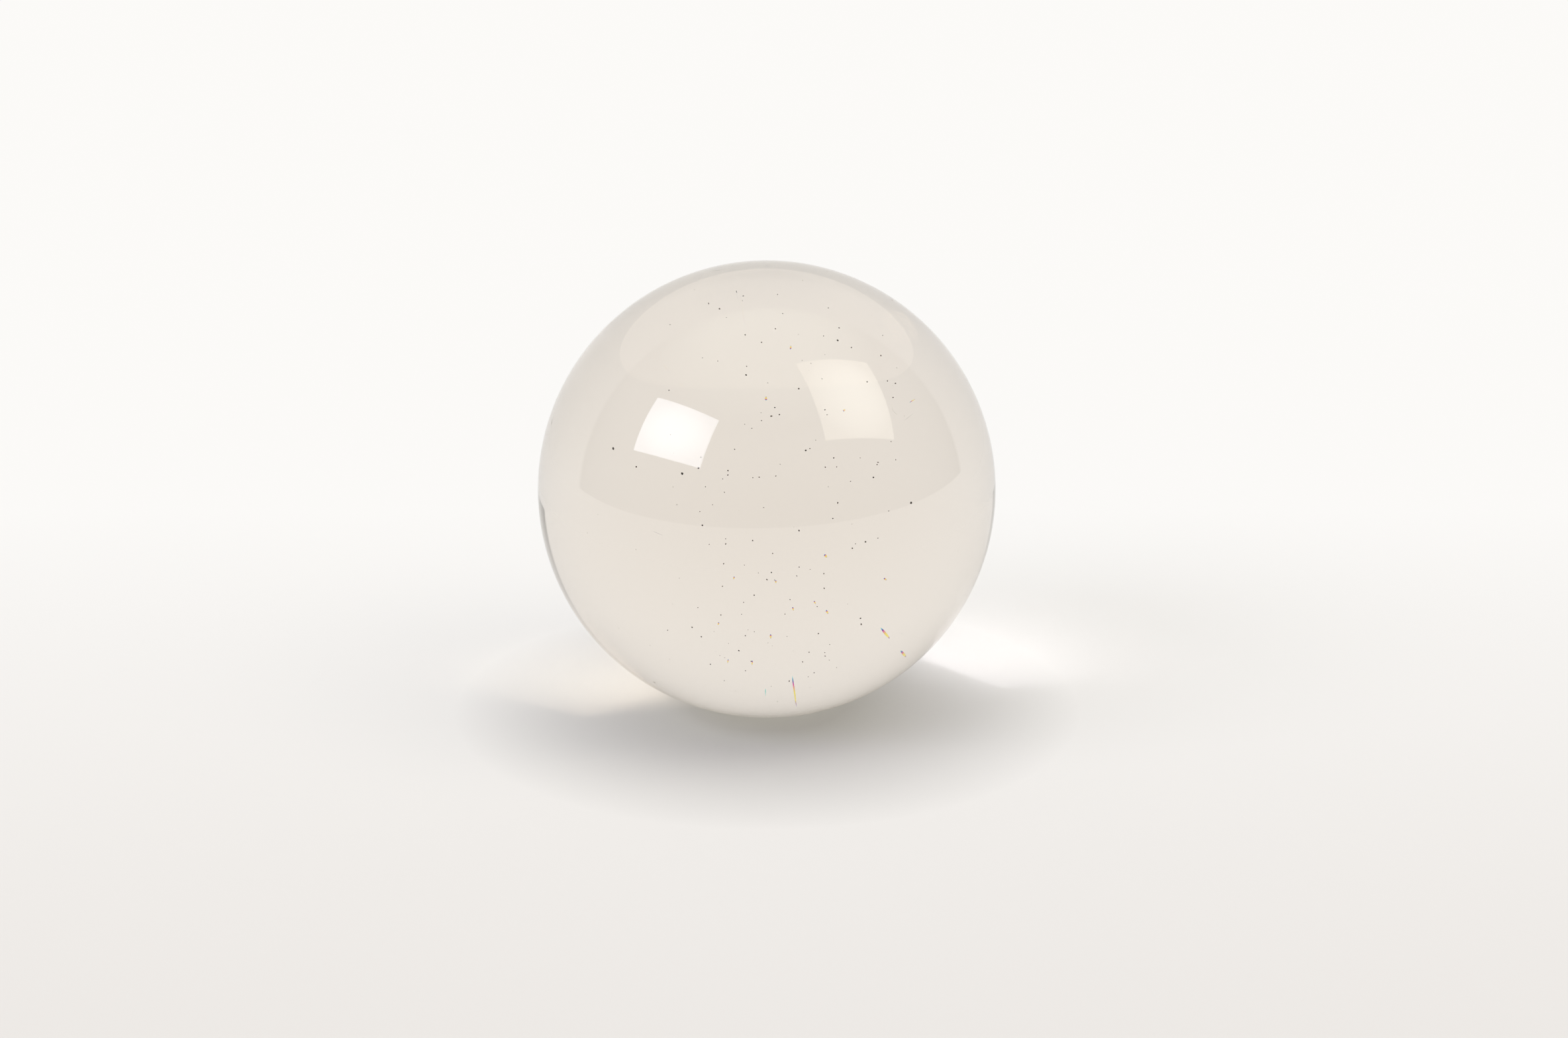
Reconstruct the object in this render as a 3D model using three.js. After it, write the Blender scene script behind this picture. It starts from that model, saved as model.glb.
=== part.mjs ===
// A solid, clear, polished ball, as used for display, refraction demonstrations and contact juggling.
// It is one piece of glass. A small polished flat under it keeps it from rolling away.
// Units are millimetres, +Z is up, and the origin is the middle of the flat.

import * as THREE from 'three';

// Driving dimensions
const BALL_DIAMETER = 100;
const FLAT_DIAMETER = 12;

// How finely the round shape is divided
const SEGMENTS_AROUND = 48;
const STEPS_PER_HALF = 13;

// Worked out from the driving dimensions
const RADIUS = BALL_DIAMETER / 2;
const FLAT_RADIUS = FLAT_DIAMETER / 2;
const CENTRE_HEIGHT = Math.sqrt(RADIUS ** 2 - FLAT_RADIUS ** 2);

// Points along the ball's outline, by the angle from straight down. The last angle is left out.
function arc(fromAngle, toAngle) {
  return Array.from({ length: STEPS_PER_HALF }, (_, step) => {
    const angle = fromAngle + (toAngle - fromAngle) * (step / STEPS_PER_HALF);
    return new THREE.Vector2(RADIUS * Math.sin(angle), CENTRE_HEIGHT - RADIUS * Math.cos(angle));
  });
}

// Half of the ball's section: the middle of the flat, its edge, the widest point, the crown.
function ballProfile() {
  const flatMiddle = new THREE.Vector2(0, 0);
  const crown = new THREE.Vector2(0, CENTRE_HEIGHT + RADIUS);
  const flatEdgeAngle = Math.asin(FLAT_RADIUS / RADIUS);
  const lowerHalf = arc(flatEdgeAngle, Math.PI / 2);
  const upperHalf = arc(Math.PI / 2, Math.PI);
  lowerHalf[0].y = 0;
  return [flatMiddle, ...lowerHalf, ...upperHalf, crown];
}

// Clear glass with a faint warm tint, polished all over.
function clearGlass() {
  return new THREE.MeshStandardMaterial({
    color: 0xe4dcd2,
    roughness: 0.02,
    metalness: 0,
    transparent: true,
    opacity: 0.35,
  });
}

// The ball is turned about the lathe's Y axis, then stood up so that this axis is +Z.
function glassBall() {
  const geometry = new THREE.LatheGeometry(ballProfile(), SEGMENTS_AROUND);
  geometry.rotateX(Math.PI / 2);
  const ball = new THREE.Mesh(geometry, clearGlass());
  ball.name = 'glass_ball';
  return ball;
}

const clearBall = new THREE.Group();
clearBall.add(glassBall());

export default clearBall;
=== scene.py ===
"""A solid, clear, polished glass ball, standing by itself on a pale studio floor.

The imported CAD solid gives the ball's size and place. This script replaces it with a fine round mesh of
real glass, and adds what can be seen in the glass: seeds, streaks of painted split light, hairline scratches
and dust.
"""

import math
import random

import bpy
from mathutils import Matrix, Vector


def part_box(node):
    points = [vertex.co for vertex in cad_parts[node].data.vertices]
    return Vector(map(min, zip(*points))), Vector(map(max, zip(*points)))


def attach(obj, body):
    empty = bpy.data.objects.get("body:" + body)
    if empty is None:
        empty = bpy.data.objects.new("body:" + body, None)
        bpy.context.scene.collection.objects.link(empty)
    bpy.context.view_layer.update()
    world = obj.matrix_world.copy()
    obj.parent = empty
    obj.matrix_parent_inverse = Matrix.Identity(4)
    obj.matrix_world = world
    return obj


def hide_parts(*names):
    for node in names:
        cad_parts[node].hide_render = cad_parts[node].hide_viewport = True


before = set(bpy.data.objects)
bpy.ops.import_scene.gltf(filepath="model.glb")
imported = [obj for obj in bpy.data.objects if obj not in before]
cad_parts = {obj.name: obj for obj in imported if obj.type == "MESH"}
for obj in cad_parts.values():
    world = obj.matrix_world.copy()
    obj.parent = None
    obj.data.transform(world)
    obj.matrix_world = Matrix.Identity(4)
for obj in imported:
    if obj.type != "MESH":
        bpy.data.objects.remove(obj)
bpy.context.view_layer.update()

MM = 0.001
UP = Vector((0, 0, 1))

# ---------------------------------------------------------------- the ball's size, from the imported CAD solid
node_low, node_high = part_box("glass_ball")
RADIUS = (node_high.x - node_low.x) / 2
CENTRE = Vector(((node_high.x + node_low.x) / 2, (node_high.y + node_low.y) / 2, node_high.z - RADIUS))
FLOOR_HEIGHT = node_low.z
FLAT_RADIUS = math.sqrt(RADIUS**2 - (CENTRE.z - FLOOR_HEIGHT) ** 2)

# ---------------------------------------------------------------- camera
CAMERA_DISTANCE = 10.32 * RADIUS
CAMERA_ELEVATION = math.radians(16.05)
CAMERA_PITCH = math.radians(16.77)
CAMERA_RIGHT = 0.075 * RADIUS
LENS_MM = 54
SENSOR_MM = 36
EYE = CENTRE + Vector(
    (
        CAMERA_RIGHT,
        -CAMERA_DISTANCE * math.cos(CAMERA_ELEVATION),
        CAMERA_DISTANCE * math.sin(CAMERA_ELEVATION),
    )
)


def make_camera():
    data = bpy.data.cameras.new("camera")
    data.lens = LENS_MM
    data.sensor_width = SENSOR_MM
    data.clip_start = 0.01
    data.clip_end = 50
    camera = bpy.data.objects.new("camera", data)
    camera.location = EYE
    camera.rotation_euler = (math.pi / 2 - CAMERA_PITCH, 0, 0)
    bpy.context.scene.collection.objects.link(camera)
    bpy.context.scene.camera = camera


# ---------------------------------------------------------------- helpers for nodes and meshes
def new_material(name):
    """A material with an empty node tree and its output node."""
    material = bpy.data.materials.new(name)
    material.use_nodes = True
    material.node_tree.nodes.clear()
    output = material.node_tree.nodes.new("ShaderNodeOutputMaterial")
    return material, material.node_tree, output


def add_node(tree, kind, **values):
    """A node with its inputs set: a socket is linked from, anything else is the input's own value."""
    node = tree.nodes.new(kind)
    for name, value in values.items():
        socket = node.inputs[name.replace("_", " ")]
        if isinstance(value, bpy.types.NodeSocket):
            tree.links.new(value, socket)
        else:
            socket.default_value = value
    return node


def mapped(tree, value, low, high, to_low, to_high):
    """value, held between low and high, carried over to the range to_low to to_high."""
    node = tree.nodes.new("ShaderNodeMapRange")
    tree.links.new(value, node.inputs["Value"])
    node.inputs["From Min"].default_value = low
    node.inputs["From Max"].default_value = high
    node.inputs["To Min"].default_value = to_low
    node.inputs["To Max"].default_value = to_high
    return node.outputs["Result"]


def mixed(tree, factor, first, second):
    """The colour between first and second. Each is a colour, or a socket that gives one."""
    node = tree.nodes.new("ShaderNodeMix")
    node.data_type = "RGBA"
    colour_a, colour_b = (s for s in node.inputs if s.type == "RGBA")
    tree.links.new(factor, node.inputs["Factor"])
    for socket, value in ((colour_a, first), (colour_b, second)):
        if isinstance(value, bpy.types.NodeSocket):
            tree.links.new(value, socket)
        else:
            socket.default_value = (*value, 1)
    return next(s for s in node.outputs if s.type == "RGBA")


def dot(tree, vector, fixed):
    node = tree.nodes.new("ShaderNodeVectorMath")
    node.operation = "DOT_PRODUCT"
    tree.links.new(vector, node.inputs[0])
    node.inputs[1].default_value = fixed
    return node.outputs["Value"]


def length(tree, vector):
    node = tree.nodes.new("ShaderNodeVectorMath")
    node.operation = "LENGTH"
    tree.links.new(vector, node.inputs[0])
    return node.outputs["Value"]


def math_node(tree, operation, *values):
    node = tree.nodes.new("ShaderNodeMath")
    node.operation = operation
    for socket, value in zip(node.inputs, values):
        if isinstance(value, bpy.types.NodeSocket):
            tree.links.new(value, socket)
        else:
            socket.default_value = value
    return node.outputs["Value"]


def new_object(name, mesh, material):
    piece = bpy.data.objects.new(name, mesh)
    mesh.materials.append(material)
    bpy.context.scene.collection.objects.link(piece)
    return piece


# ---------------------------------------------------------------- the glass
GLASS_IOR = 1.5
GLASS_ABSORPTION = (1.72, 2.42, 3.30)  # per metre, for red, green and blue
ABSORPTION_DENSITY = 4.0
SMUDGE_RANGE = (0.5, 0.8)  # between these values of the noise, the polish goes from perfect to its dullest
DULLEST_POLISH = 0.012


def clear_glass():
    """Clear glass with a faint warm tint that grows with its depth, and a polish that varies a little."""
    material, tree, output = new_material("clear_glass")
    place = add_node(tree, "ShaderNodeTexCoord").outputs["Object"]
    smudges = add_node(tree, "ShaderNodeTexNoise", Vector=place, Scale=60.0, Detail=4.0, Roughness=0.6)
    polish = mapped(tree, smudges.outputs["Fac"], *SMUDGE_RANGE, 0.0, DULLEST_POLISH)
    glass = add_node(
        tree,
        "ShaderNodeBsdfPrincipled",
        Base_Color=(1, 1, 1, 1),
        Roughness=polish,
        IOR=GLASS_IOR,
        Transmission_Weight=1.0,
    )
    taken = [1 - share / ABSORPTION_DENSITY for share in GLASS_ABSORPTION]
    tint = add_node(tree, "ShaderNodeVolumeAbsorption", Color=(*taken, 1), Density=ABSORPTION_DENSITY)
    tree.links.new(glass.outputs["BSDF"], output.inputs["Surface"])
    tree.links.new(tint.outputs["Volume"], output.inputs["Volume"])
    return material


# ---------------------------------------------------------------- the ball
SEGMENTS_AROUND = 256
STEPS_UP = 144
ARRIS_WIDTH = 0.3 * MM


def ball_profile():
    """Half of the ball's section, from the flat's middle to the crown: (out, up, normal out, normal up)."""
    edge_angle = math.asin(FLAT_RADIUS / RADIUS)
    flat = [(share * (FLAT_RADIUS - ARRIS_WIDTH), FLOOR_HEIGHT, 0, -1) for share in (0, 0.5, 1)]
    round_part = []
    for step in range(STEPS_UP + 1):
        angle = edge_angle + (math.pi - edge_angle) * step / STEPS_UP
        out, down = math.sin(angle), math.cos(angle)
        round_part.append((RADIUS * out, CENTRE.z - RADIUS * down, out, -down))
    return flat + round_part


def lathe(name, profile):
    """A closed body turned about the vertical axis, with the profile's own normals."""
    points = [Vector((0, 0, profile[0][1]))]
    normals = [Vector((0, 0, -1))]
    rings = profile[1:-1]
    for out, up, normal_out, normal_up in rings:
        for segment in range(SEGMENTS_AROUND):
            turn = 2 * math.pi * segment / SEGMENTS_AROUND
            c, s = math.cos(turn), math.sin(turn)
            points.append(Vector((out * c, out * s, up)))
            normals.append(Vector((normal_out * c, normal_out * s, normal_up)))
    points.append(Vector((0, 0, profile[-1][1])))
    normals.append(UP.copy())
    crown = len(points) - 1

    def at(ring, segment):
        return 1 + ring * SEGMENTS_AROUND + segment % SEGMENTS_AROUND

    faces = []
    for segment in range(SEGMENTS_AROUND):
        faces.append((0, at(0, segment + 1), at(0, segment)))
        faces.append((crown, at(len(rings) - 1, segment), at(len(rings) - 1, segment + 1)))
        for ring in range(len(rings) - 1):
            low = (at(ring, segment), at(ring, segment + 1))
            faces.append((*low, at(ring + 1, segment + 1), at(ring + 1, segment)))
    mesh = bpy.data.meshes.new(name)
    mesh.from_pydata(points, [], faces)
    mesh.shade_smooth()
    mesh.normals_split_custom_set_from_vertices(normals)
    return mesh


def make_ball():
    ball = new_object("ball_glass", lathe("ball_glass", ball_profile()), clear_glass())
    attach(ball, "root")
    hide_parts("glass_ball")
    return ball


# ---------------------------------------------------------------- what shows in and on the glass
# A place is given as the camera sees it: how far right and how far up from the middle of the ball's
# outline, in radii. Its depth is a share of the way through the glass along that line of sight.
RANDOM_SEED = 20
SIDES_AROUND_MARK = 6
RINGS_ALONG_MARK = 9
SMALL_STEP = 0.01  # in radii, over which the magnification of the glass is measured

SPECK_DEPTHS = (0.02, 0.75)
FEW_BIG_SPECKS = (  # right, up, width
    (-0.37, 0.07, 0.50 * MM),
    (-0.57, 0.10, 0.38 * MM),
    (-0.67, 0.18, 0.38 * MM),
    (0.63, -0.06, 0.40 * MM),
    (0.43, -0.23, 0.40 * MM),
    (0.14, -0.18, 0.38 * MM),
    (0.31, 0.65, 0.44 * MM),
    (0.02, 0.32, 0.38 * MM),
    (-0.09, 0.50, 0.36 * MM),
    (0.14, 0.44, 0.38 * MM),
    (0.17, 0.17, 0.38 * MM),
)
SPECK_COUNT = 125
SPECK_BAND = (0.06, 0.30)  # the middle of the streak of seeds, and how far most of them stray to either side
SPECK_REACH = 0.88
SPECK_WIDTHS = (0.15 * MM, 0.34 * MM)
SPECK_HALF_LENGTHS = (0.5, 0.75)  # in widths, as for the motes below
SPECK_RINGS = 6
SPECK_UNEVENNESS = 0.2

FLECK_DEPTHS = (0.15, 0.55)
FLECK_UNEVENNESS = 0.1
PRISM_FLECKS = (  # right and up of the middle, length outwards, width
    (0.118, -0.883, 7.0 * MM, 0.34 * MM),
    (0.516, -0.630, 3.2 * MM, 0.46 * MM),
    (0.595, -0.720, 1.9 * MM, 0.30 * MM),
    (0.636, 0.386, 1.5 * MM, 0.16 * MM),
    (0.256, -0.291, 0.95 * MM, 0.56 * MM),
    (0.262, -0.536, 1.0 * MM, 0.46 * MM),
    (0.113, -0.522, 0.9 * MM, 0.36 * MM),
    (0.015, -0.642, 1.0 * MM, 0.40 * MM),
    (0.208, -0.494, 0.85 * MM, 0.34 * MM),
    (0.038, -0.403, 0.7 * MM, 0.36 * MM),
    (-0.145, -0.386, 0.65 * MM, 0.34 * MM),
    (-0.213, -0.586, 0.7 * MM, 0.34 * MM),
    (0.516, -0.393, 0.8 * MM, 0.40 * MM),
    (-0.066, -0.758, 1.1 * MM, 0.26 * MM),
    (-0.172, -0.750, 0.9 * MM, 0.24 * MM),
    (0.105, 0.619, 0.85 * MM, 0.40 * MM),
    (-0.003, 0.397, 0.9 * MM, 0.50 * MM),
    (0.338, 0.345, 0.7 * MM, 0.34 * MM),
)
TEAL_FLECK = (-0.008, -0.889, 1.9 * MM, 0.22 * MM)

HAIRLINE_WIDTH = 0.06 * MM
HAIRLINES = (  # from right, up, to right, up
    (-0.13, 0.87, -0.126, 0.83),
    (-0.24, 0.953, -0.19, 0.958),
    (0.60, 0.30, 0.64, 0.33),
    (-0.50, -0.18, -0.455, -0.20),
)
HAIRLINES_ELSEWHERE = 6
HAIRLINE_LENGTHS = (2.0 * MM, 7.0 * MM)

LOWEST_ON_SURFACE = -0.85  # the sine of the elevation below which dust and scratches stay off the ball
MOTE_COUNT = 110
MOTE_WIDTHS = (0.08 * MM, 0.18 * MM)
MOTE_HALF_LENGTHS = (0.5, 0.8)
MOTE_RINGS = 5
MOTE_UNEVENNESS = 0.25
FIBRE_COUNT = 3
FIBRE_LENGTHS = (1.5 * MM, 3.0 * MM)
FIBRE_WIDTH = 0.05 * MM
FIBRE_CURLS = (0.15, 0.35)  # how far a fibre bends to one side, in its own lengths


def refracted(line, normal, ratio):
    """Where a line goes on behind a surface with this normal, by Snell's law."""
    cosine = -line.dot(normal)
    return ratio * line + (ratio * cosine - math.sqrt(1 - ratio**2 * (1 - cosine**2))) * normal


def place_seen(right, up, depth):
    """The place in the glass that the camera sees there, at that depth."""
    towards_eye = EYE - CENTRE
    distance = towards_eye.length
    side = UP.cross(towards_eye).normalized()
    above = towards_eye.cross(side).normalized()
    outline = RADIUS / math.sqrt(1 - (RADIUS / distance) ** 2)
    line = (CENTRE + outline * (right * side + up * above) - EYE).normalized()
    closest = -towards_eye.dot(line)
    entry = EYE + line * (closest - math.sqrt(closest**2 - distance**2 + RADIUS**2))
    inwards = refracted(line, (entry - CENTRE).normalized(), 1 / GLASS_IOR)
    chord = -2 * inwards.dot(entry - CENTRE)
    return entry + depth * chord * inwards


def add_mark(shape, spine, width, uneven=0.0):
    """A thin closed body along the spine's points, widest in the middle and pointed at both ends."""
    first = len(shape["points"])
    last = len(spine) - 1
    shape["points"].append(spine[0])
    shape["along"].append(0.0)
    for ring in range(1, last):
        along = (spine[ring + 1] - spine[ring - 1]).normalized()
        across = along.orthogonal().normalized()
        other = along.cross(across)
        share = ring / last
        for side in range(SIDES_AROUND_MARK):
            turn = 2 * math.pi * side / SIDES_AROUND_MARK
            out = width / 2 * math.sqrt(math.sin(math.pi * share)) * (1 + uneven * random.uniform(-1, 1))
            shape["points"].append(spine[ring] + out * (math.cos(turn) * across + math.sin(turn) * other))
            shape["along"].append(share)
    shape["points"].append(spine[last])
    shape["along"].append(1.0)
    end = len(shape["points"]) - 1

    def at(ring, side):
        return first + 1 + (ring - 1) * SIDES_AROUND_MARK + side % SIDES_AROUND_MARK

    for side in range(SIDES_AROUND_MARK):
        shape["faces"].append((first, at(1, side + 1), at(1, side)))
        shape["faces"].append((end, at(last - 1, side), at(last - 1, side + 1)))
        for ring in range(1, last - 1):
            low = (at(ring, side), at(ring, side + 1))
            shape["faces"].append((*low, at(ring + 1, side + 1), at(ring + 1, side)))


def empty_shape():
    return {"points": [], "faces": [], "along": []}


def make_marks(name, shape, material):
    """One piece that holds all marks of a kind. Its UV map runs along each mark from end to end."""
    mesh = bpy.data.meshes.new(name)
    mesh.from_pydata(shape["points"], [], shape["faces"])
    layer = mesh.uv_layers.new(name="along")
    for loop in mesh.loops:
        layer.data[loop.index].uv = (shape["along"][loop.vertex_index], 0.5)
    mesh.shade_smooth()
    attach(new_object(name, mesh, material), "root")


def straight(start, end, points=RINGS_ALONG_MARK):
    return [start.lerp(end, step / (points - 1)) for step in range(points)]


def random_direction(lowest=-1.0):
    height = random.uniform(lowest, 1)
    turn = random.uniform(0, 2 * math.pi)
    out = math.sqrt(1 - height**2)
    return Vector((out * math.cos(turn), out * math.sin(turn), height))


def on_surface(towards):
    return CENTRE + RADIUS * towards.normalized()


def magnified(right, up, depth):
    """How much larger something small looks there than it is."""
    apart = (place_seen(right + SMALL_STEP, up, depth) - place_seen(right, up, depth)).length
    return SMALL_STEP * RADIUS / apart


def make_seed_specks():
    """Tiny dark seeds and grains inside the glass, most of them in a streak from top to bottom."""
    shape = empty_shape()
    specks = list(FEW_BIG_SPECKS)
    while len(specks) < len(FEW_BIG_SPECKS) + SPECK_COUNT:
        right, up = random.gauss(*SPECK_BAND), random.uniform(-SPECK_REACH, SPECK_REACH)
        if math.hypot(right, up) < SPECK_REACH:
            specks.append((right, up, random.uniform(*SPECK_WIDTHS)))
    for right, up, width in specks:
        depth = random.uniform(*SPECK_DEPTHS)
        real_width = width / magnified(right, up, depth)
        middle = place_seen(right, up, depth)
        half = random_direction() * real_width * random.uniform(*SPECK_HALF_LENGTHS)
        spine = straight(middle - half, middle + half, SPECK_RINGS)
        add_mark(shape, spine, real_width, uneven=SPECK_UNEVENNESS)
    make_marks("seed_specks", shape, mineral_grey())


def add_fleck(shape, right, up, length, width):
    """A fleck that points away from the middle of the ball as the camera sees it."""
    depth = random.uniform(*FLECK_DEPTHS)
    reach = math.hypot(right, up)
    half = length / 2 / RADIUS / reach
    inner = place_seen(right * (1 - half), up * (1 - half), depth)
    outer = place_seen(right * (1 + half), up * (1 + half), depth)
    real_width = width / magnified(right, up, depth)
    add_mark(shape, straight(inner, outer), real_width, uneven=FLECK_UNEVENNESS)


def make_prism_flecks():
    """Small flaws painted with the colours of split light: blue towards the middle of the ball, and yellow
    at the outside.
    """
    shape = empty_shape()
    for fleck in PRISM_FLECKS:
        add_fleck(shape, *fleck)
    make_marks("prism_flecks", shape, painted_split_light())
    teal = empty_shape()
    add_fleck(teal, *TEAL_FLECK)
    make_marks("teal_fleck", teal, painted_teal_glint())


def add_hairline(shape, start, end, width):
    """A line over the ball's surface, half sunk in it."""
    spine = [on_surface(point - CENTRE) for point in straight(start, end)]
    add_mark(shape, spine, width)


def make_hairlines():
    """Fine scratches in the polish: those that the camera sees, and some on the other sides."""
    shape = empty_shape()
    for from_right, from_up, to_right, to_up in HAIRLINES:
        start, end = place_seen(from_right, from_up, 0), place_seen(to_right, to_up, 0)
        add_hairline(shape, start, end, HAIRLINE_WIDTH)
    for _ in range(HAIRLINES_ELSEWHERE):
        towards = random_direction(LOWEST_ON_SURFACE)
        towards.y = abs(towards.y)
        start = on_surface(towards)
        end = start + towards.cross(random_direction()).normalized() * random.uniform(*HAIRLINE_LENGTHS)
        add_hairline(shape, start, end, HAIRLINE_WIDTH)
    make_marks("surface_hairlines", shape, scratch_grey())


def make_dust():
    """Dust on the polished surface: tiny motes and a few curled fibres."""
    shape = empty_shape()
    for _ in range(MOTE_COUNT):
        middle = on_surface(random_direction(LOWEST_ON_SURFACE))
        width = random.uniform(*MOTE_WIDTHS)
        half = random_direction() * width * random.uniform(*MOTE_HALF_LENGTHS)
        add_mark(shape, straight(middle - half, middle + half, MOTE_RINGS), width, uneven=MOTE_UNEVENNESS)
    for _ in range(FIBRE_COUNT):
        towards = random_direction()
        towards.z = abs(towards.z)
        along = towards.cross(random_direction()).normalized()
        curl = towards.cross(along).normalized() * random.uniform(*FIBRE_CURLS)
        length = random.uniform(*FIBRE_LENGTHS)
        shares = [step / (RINGS_ALONG_MARK - 1) for step in range(RINGS_ALONG_MARK)]
        offsets = [length * (share * along + math.sin(math.pi * share) * curl) for share in shares]
        add_mark(shape, [on_surface(RADIUS * towards + offset) for offset in offsets], FIBRE_WIDTH)
    make_marks("dust_motes", shape, dust_grey())


TONE_RANGE = (0.35, 0.65)  # between these values of the noise, a grain goes from its dark to its light tone


def speckled(name, dark, light, scale, roughness):
    """A dull grain whose colour wanders between two tones."""
    material, tree, output = new_material(name)
    place = add_node(tree, "ShaderNodeTexCoord").outputs["Object"]
    patches = add_node(tree, "ShaderNodeTexNoise", Vector=place, Scale=scale, Detail=2.0)
    colour = mixed(tree, mapped(tree, patches.outputs["Fac"], *TONE_RANGE, 0.0, 1.0), dark, light)
    grain = add_node(tree, "ShaderNodeBsdfPrincipled", Base_Color=colour, Roughness=roughness)
    tree.links.new(grain.outputs["BSDF"], output.inputs["Surface"])
    return material


def mineral_grey():
    return speckled("mineral_grey", (0.03, 0.025, 0.02), (0.13, 0.11, 0.09), 160.0, 0.6)


def dust_grey():
    return speckled("dust_grey", (0.22, 0.20, 0.17), (0.55, 0.51, 0.46), 220.0, 0.9)


def scratch_grey():
    return speckled("scratch_grey", (0.36, 0.35, 0.33), (0.60, 0.59, 0.57), 140.0, 0.5)


CLEAR_FLAW_IOR = 1.001
# the colour of the painted teal glint
TEAL = (0.28, 0.80, 0.78)
TEAL_FADE = (0.3, 1.0)  # between these shares of the way out, it fades to clear
# painted split light: colours of light split by the flaws, painted along each fleck
PAINTED_SPLIT_LIGHT = (  # share of the way out, colour
    (0.00, (0.45, 0.90, 0.95)),
    (0.10, (0.12, 0.62, 0.80)),
    (0.20, (0.12, 0.12, 0.50)),
    (0.30, (0.80, 0.12, 0.50)),
    (0.42, (0.95, 0.55, 0.30)),
    (0.55, (1.00, 0.90, 0.22)),
    (0.80, (1.00, 0.92, 0.34)),
    (0.90, (0.62, 0.36, 0.62)),
    (1.00, (0.60, 0.66, 0.95)),
)


def show_through(tree, output, colour):
    """A clear flaw that only colours the light that passes through it."""
    flaw = add_node(
        tree,
        "ShaderNodeBsdfPrincipled",
        Base_Color=colour,
        Roughness=0.0,
        IOR=CLEAR_FLAW_IOR,
        Transmission_Weight=1.0,
    )
    tree.links.new(flaw.outputs["BSDF"], output.inputs["Surface"])


def painted_teal_glint():
    """A painted teal glint at the inner end of the fleck, which fades outwards."""
    material, tree, output = new_material("painted_teal_glint")
    along = add_node(tree, "ShaderNodeTexCoord").outputs["UV"]
    share = add_node(tree, "ShaderNodeSeparateXYZ", Vector=along).outputs["X"]
    faded = mixed(tree, mapped(tree, share, *TEAL_FADE, 0.0, 1.0), TEAL, (1, 1, 1))
    show_through(tree, output, faded)
    return material


def painted_split_light():
    """Painted split light: its colours run along each fleck."""
    material, tree, output = new_material("painted_split_light")
    along = add_node(tree, "ShaderNodeTexCoord").outputs["UV"]
    share = add_node(tree, "ShaderNodeSeparateXYZ", Vector=along).outputs["X"]
    ramp = add_node(tree, "ShaderNodeValToRGB", Fac=share)
    stops = ramp.color_ramp.elements
    for index, (position, colour) in enumerate(PAINTED_SPLIT_LIGHT):
        stop = stops[index] if index < 2 else stops.new(position)
        stop.position = position
        stop.color = (*colour, 1)
    show_through(tree, output, ramp.outputs["Color"])
    return material


def make_marks_of_all_kinds():
    random.seed(RANDOM_SEED)
    make_seed_specks()
    make_prism_flecks()
    make_hairlines()
    make_dust()


# ---------------------------------------------------------------- the studio
FLOOR_RADIUS = 0.58
FLOOR_SIDES = 96
FLOOR_NEAR_SHADED_COLOUR = (0.249, 0.240, 0.239)
FLOOR_FAR_COLOUR = (0.286, 0.282, 0.287)
FLOOR_GLOW = 0.56  # painted light: the floor glows, and near the ball this share of its light is its own glow
FLOOR_FADE = (0.12, 0.55)  # between these distances from the ball, its own light rises to the whole
PAINTED_SHADE_GLOW_UNDER = 0.1  # painted shade: the floor's own glow drops to this share close under the ball, as if the ball shaded it
PAINTED_SHADE_UNDER = (0.018, 0.070)  # painted shade: between these distances the glow rises again to FLOOR_GLOW
FLOOR_SHADE = (-0.16, 0.15)  # painted shade: from where to where, towards the back, the floor turns from its greyer near colour to its far colour
BACKDROP_LIGHT = (0.97, 0.957, 0.935)
FRONT_GROUND_LIGHT = (0.85, 0.82, 0.79)  # the floor that goes on out to the horizon, on the viewer's side
GROUND_SHADE = (-0.3, 0.3)  # from where to where, towards the back, it turns into the backdrop's light
GROUND_EDGE = -0.045  # the sine of the elevation where the ground ends, straight ahead of the ball
GROUND_EDGE_SLOPE = 0.02  # how much higher it ends towards the right, and lower towards the left
GROUND_EDGE_SOFTNESS = 0.004
ROOM_LOW_LIGHT = (0.14, 0.135, 0.125)
ROOM_HIGH_LIGHT = (0.66, 0.65, 0.63)
ROOM_HIGH = 0.6  # the sine of the elevation from which the room is at its lightest
OVERHEAD_LIGHT = (1.5, 1.53, 1.4)
OVERHEAD = (0.72, 0.95)  # between these sines of the elevation the light rises to the overhead light
ROOM_AXIS = (4, 7)  # where the middle of the room's side is seen from the ball: azimuth, elevation
ROOM_HALF_ANGLE = 109
EDGE_SOFTNESS = 0.02
FACING_SOFTNESS = 0.01  # keeps a softbox from showing again on the far side of the ball
RIM_REACH = 1.2  # the sum of squares, from a softbox's middle to its edges, at which its light is the rim's

# A softbox is a flat panel. Its plane is square to the line at this azimuth and elevation, and its edges
# (left, right, bottom, top) are in units of the plane's distance, from where that line meets it.
LEFT_SOFTBOX = {
    "faces": (-51.3, 25.2),
    "turn": -2.7,
    "edges": (-0.265, 0.418, -0.034, 0.413),
    "middle": (7.8, 8.0, 8.6),
    "rim": (5.4, 5.6, 6.2),
}
RIGHT_SOFTBOX = {
    "faces": (38.0, 43.8),
    "turn": 8.5,
    "edges": (-0.712, 0.011, -0.134, 0.629),
    "middle": (4.7, 4.6, 4.1),
    "rim": (2.9, 2.75, 2.4),
}


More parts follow.
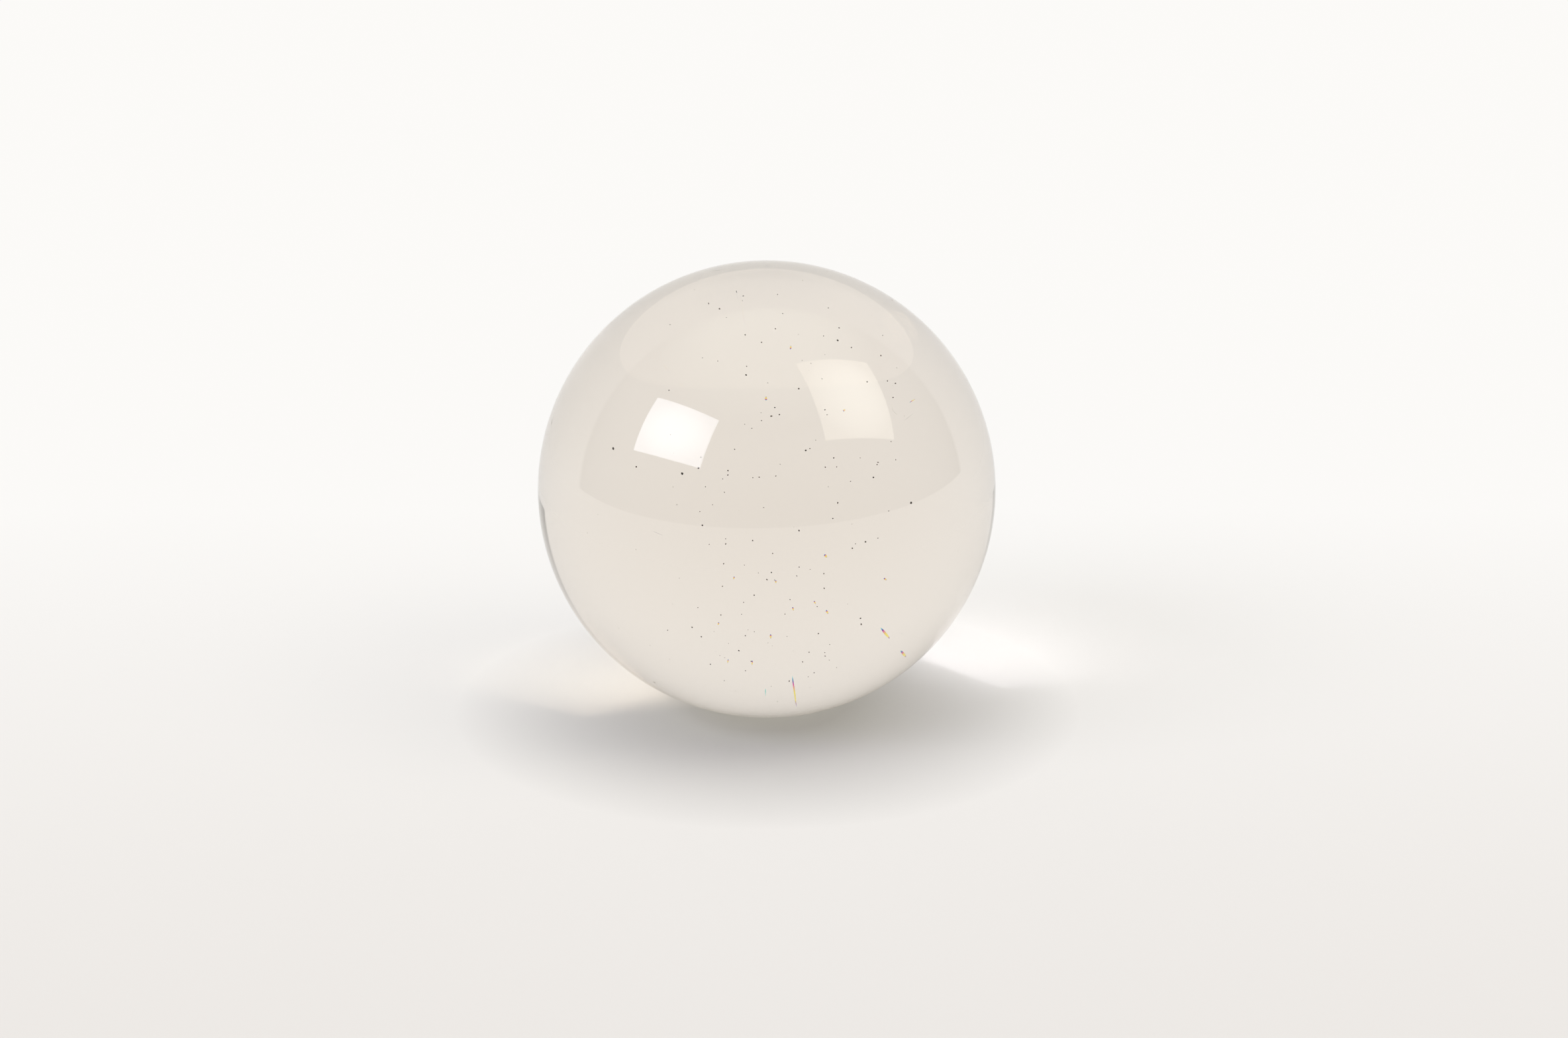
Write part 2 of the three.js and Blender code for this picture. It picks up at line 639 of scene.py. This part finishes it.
def pale_table():
    """A matt floor that glows with painted light, greyer towards the camera as painted shade, with a painted
    shadow where its glow drops close under the ball. Far out all its light is its own.
    """
    material, tree, output = new_material("pale_table")
    place = add_node(tree, "ShaderNodeTexCoord").outputs["Object"]
    depth = add_node(tree, "ShaderNodeSeparateXYZ", Vector=place).outputs["Y"]
    distance = length(tree, place)
    # painted shade: the floor turns greyer towards the camera, in its colour and in its glow
    farther = mapped(tree, depth, *FLOOR_SHADE, 0.0, 1.0)
    fading = mapped(tree, distance, *FLOOR_FADE, 0.0, 1.0)
    colour = mixed(tree, farther, FLOOR_NEAR_SHADED_COLOUR, FLOOR_FAR_COLOUR)
    # painted shadow: the floor's own glow drops close under the ball
    glow_with_painted_shade = mapped(tree, distance, *PAINTED_SHADE_UNDER, PAINTED_SHADE_GLOW_UNDER, FLOOR_GLOW)
    table = add_node(
        tree,
        "ShaderNodeBsdfPrincipled",
        Base_Color=mixed(tree, fading, colour, (0, 0, 0)),
        Roughness=0.9,
        Specular_IOR_Level=0.0,
        Emission_Color=mixed(tree, farther, FRONT_GROUND_LIGHT, BACKDROP_LIGHT),
        Emission_Strength=math_node(
            tree, "ADD", glow_with_painted_shade, mapped(tree, fading, 0.0, 1.0, 0.0, 1 - FLOOR_GLOW)
        ),
    )
    material.cycles.emission_sampling = "NONE"
    tree.links.new(table.outputs["BSDF"], output.inputs["Surface"])
    return material


def make_floor():
    turns = [2 * math.pi * step / FLOOR_SIDES for step in range(FLOOR_SIDES)]
    points = [(FLOOR_RADIUS * math.cos(t), FLOOR_RADIUS * math.sin(t), FLOOR_HEIGHT) for t in turns]
    mesh = bpy.data.meshes.new("floor")
    mesh.from_pydata(points, [], [tuple(range(len(points)))])
    new_object("floor", mesh, pale_table())


def direction_to(azimuth, elevation):
    """The direction from the ball to a place. Azimuth 0 is the camera's side, and 90 is to the right."""
    a, e = math.radians(azimuth), math.radians(elevation)
    return Vector((math.sin(a) * math.cos(e), -math.cos(a) * math.cos(e), math.sin(e)))


def inside(tree, value, low, high):
    """How far value is from the middle of low to high: 0 in the middle, 1 at either end."""
    middle, half = (low + high) / 2, (high - low) / 2
    share = math_node(tree, "DIVIDE", math_node(tree, "SUBTRACT", value, middle), half)
    return math_node(tree, "ABSOLUTE", share)


def with_softbox(tree, direction, colour, box):
    """colour, with the softbox shown where direction meets its panel."""
    normal = direction_to(*box["faces"])
    turned = Matrix.Rotation(math.radians(-box["turn"]), 3, normal)
    right = turned @ normal.cross(UP).normalized()
    up = right.cross(normal)
    along = dot(tree, direction, normal)
    x = math_node(tree, "DIVIDE", dot(tree, direction, right), along)
    y = math_node(tree, "DIVIDE", dot(tree, direction, up), along)
    left, right_edge, bottom, top = box["edges"]
    out_x, out_y = inside(tree, x, left, right_edge), inside(tree, y, bottom, top)
    farthest = math_node(tree, "MAXIMUM", out_x, out_y)
    within = mapped(tree, farthest, 1 + EDGE_SOFTNESS, 1 - EDGE_SOFTNESS, 0.0, 1.0)
    facing = mapped(tree, along, 0.0, FACING_SOFTNESS, 0.0, 1.0)
    squares = math_node(
        tree, "ADD", math_node(tree, "MULTIPLY", out_x, out_x), math_node(tree, "MULTIPLY", out_y, out_y)
    )
    glow = mixed(tree, mapped(tree, squares, 0.0, RIM_REACH, 0.0, 1.0), box["middle"], box["rim"])
    return mixed(tree, math_node(tree, "MULTIPLY", within, facing), colour, glow)


def make_world():
    """Pale ground and backdrop, a dimmer room on the viewer's side with a light ceiling, two softboxes."""
    world = bpy.data.worlds.new("studio")
    world.use_nodes = True
    tree = world.node_tree
    tree.nodes.clear()
    output = tree.nodes.new("ShaderNodeOutputWorld")
    direction = add_node(tree, "ShaderNodeTexCoord").outputs["Generated"]
    parts = add_node(tree, "ShaderNodeSeparateXYZ", Vector=direction).outputs
    depth, height = parts["Y"], parts["Z"]
    room = mixed(tree, mapped(tree, height, 0.0, ROOM_HIGH, 0.0, 1.0), ROOM_LOW_LIGHT, ROOM_HIGH_LIGHT)
    towards_room = dot(tree, direction, direction_to(*ROOM_AXIS))
    edge = math.cos(math.radians(ROOM_HALF_ANGLE))
    behind = mapped(tree, towards_room, edge + EDGE_SOFTNESS, edge - EDGE_SOFTNESS, 0.0, 1.0)
    room = mixed(tree, mapped(tree, height, *OVERHEAD, 0.0, 1.0), room, OVERHEAD_LIGHT)
    light = mixed(tree, behind, room, BACKDROP_LIGHT)
    ground = mixed(tree, mapped(tree, depth, *GROUND_SHADE, 0.0, 1.0), FRONT_GROUND_LIGHT, BACKDROP_LIGHT)
    ground_edge = math_node(tree, "MULTIPLY_ADD", parts["X"], GROUND_EDGE_SLOPE, GROUND_EDGE)
    over_edge = math_node(tree, "SUBTRACT", height, ground_edge)
    below = mapped(tree, over_edge, GROUND_EDGE_SOFTNESS, -GROUND_EDGE_SOFTNESS, 0.0, 1.0)
    light = mixed(tree, below, light, ground)
    for box in (LEFT_SOFTBOX, RIGHT_SOFTBOX):
        light = with_softbox(tree, direction, light, box)
    background = add_node(tree, "ShaderNodeBackground", Color=light, Strength=1.0)
    tree.links.new(background.outputs["Background"], output.inputs["Surface"])
    bpy.context.scene.world = world


def light_the_studio():
    make_floor()
    make_world()
    scene = bpy.context.scene
    scene.view_settings.view_transform = "Standard"
    scene.view_settings.look = "None"
    scene.cycles.caustics_refractive = True
    scene.cycles.caustics_reflective = True
    scene.cycles.blur_glossy = 0.0
    scene.cycles.transmission_bounces = 16
    scene.cycles.max_bounces = 24


make_camera()
make_ball()
make_marks_of_all_kinds()
light_the_studio()
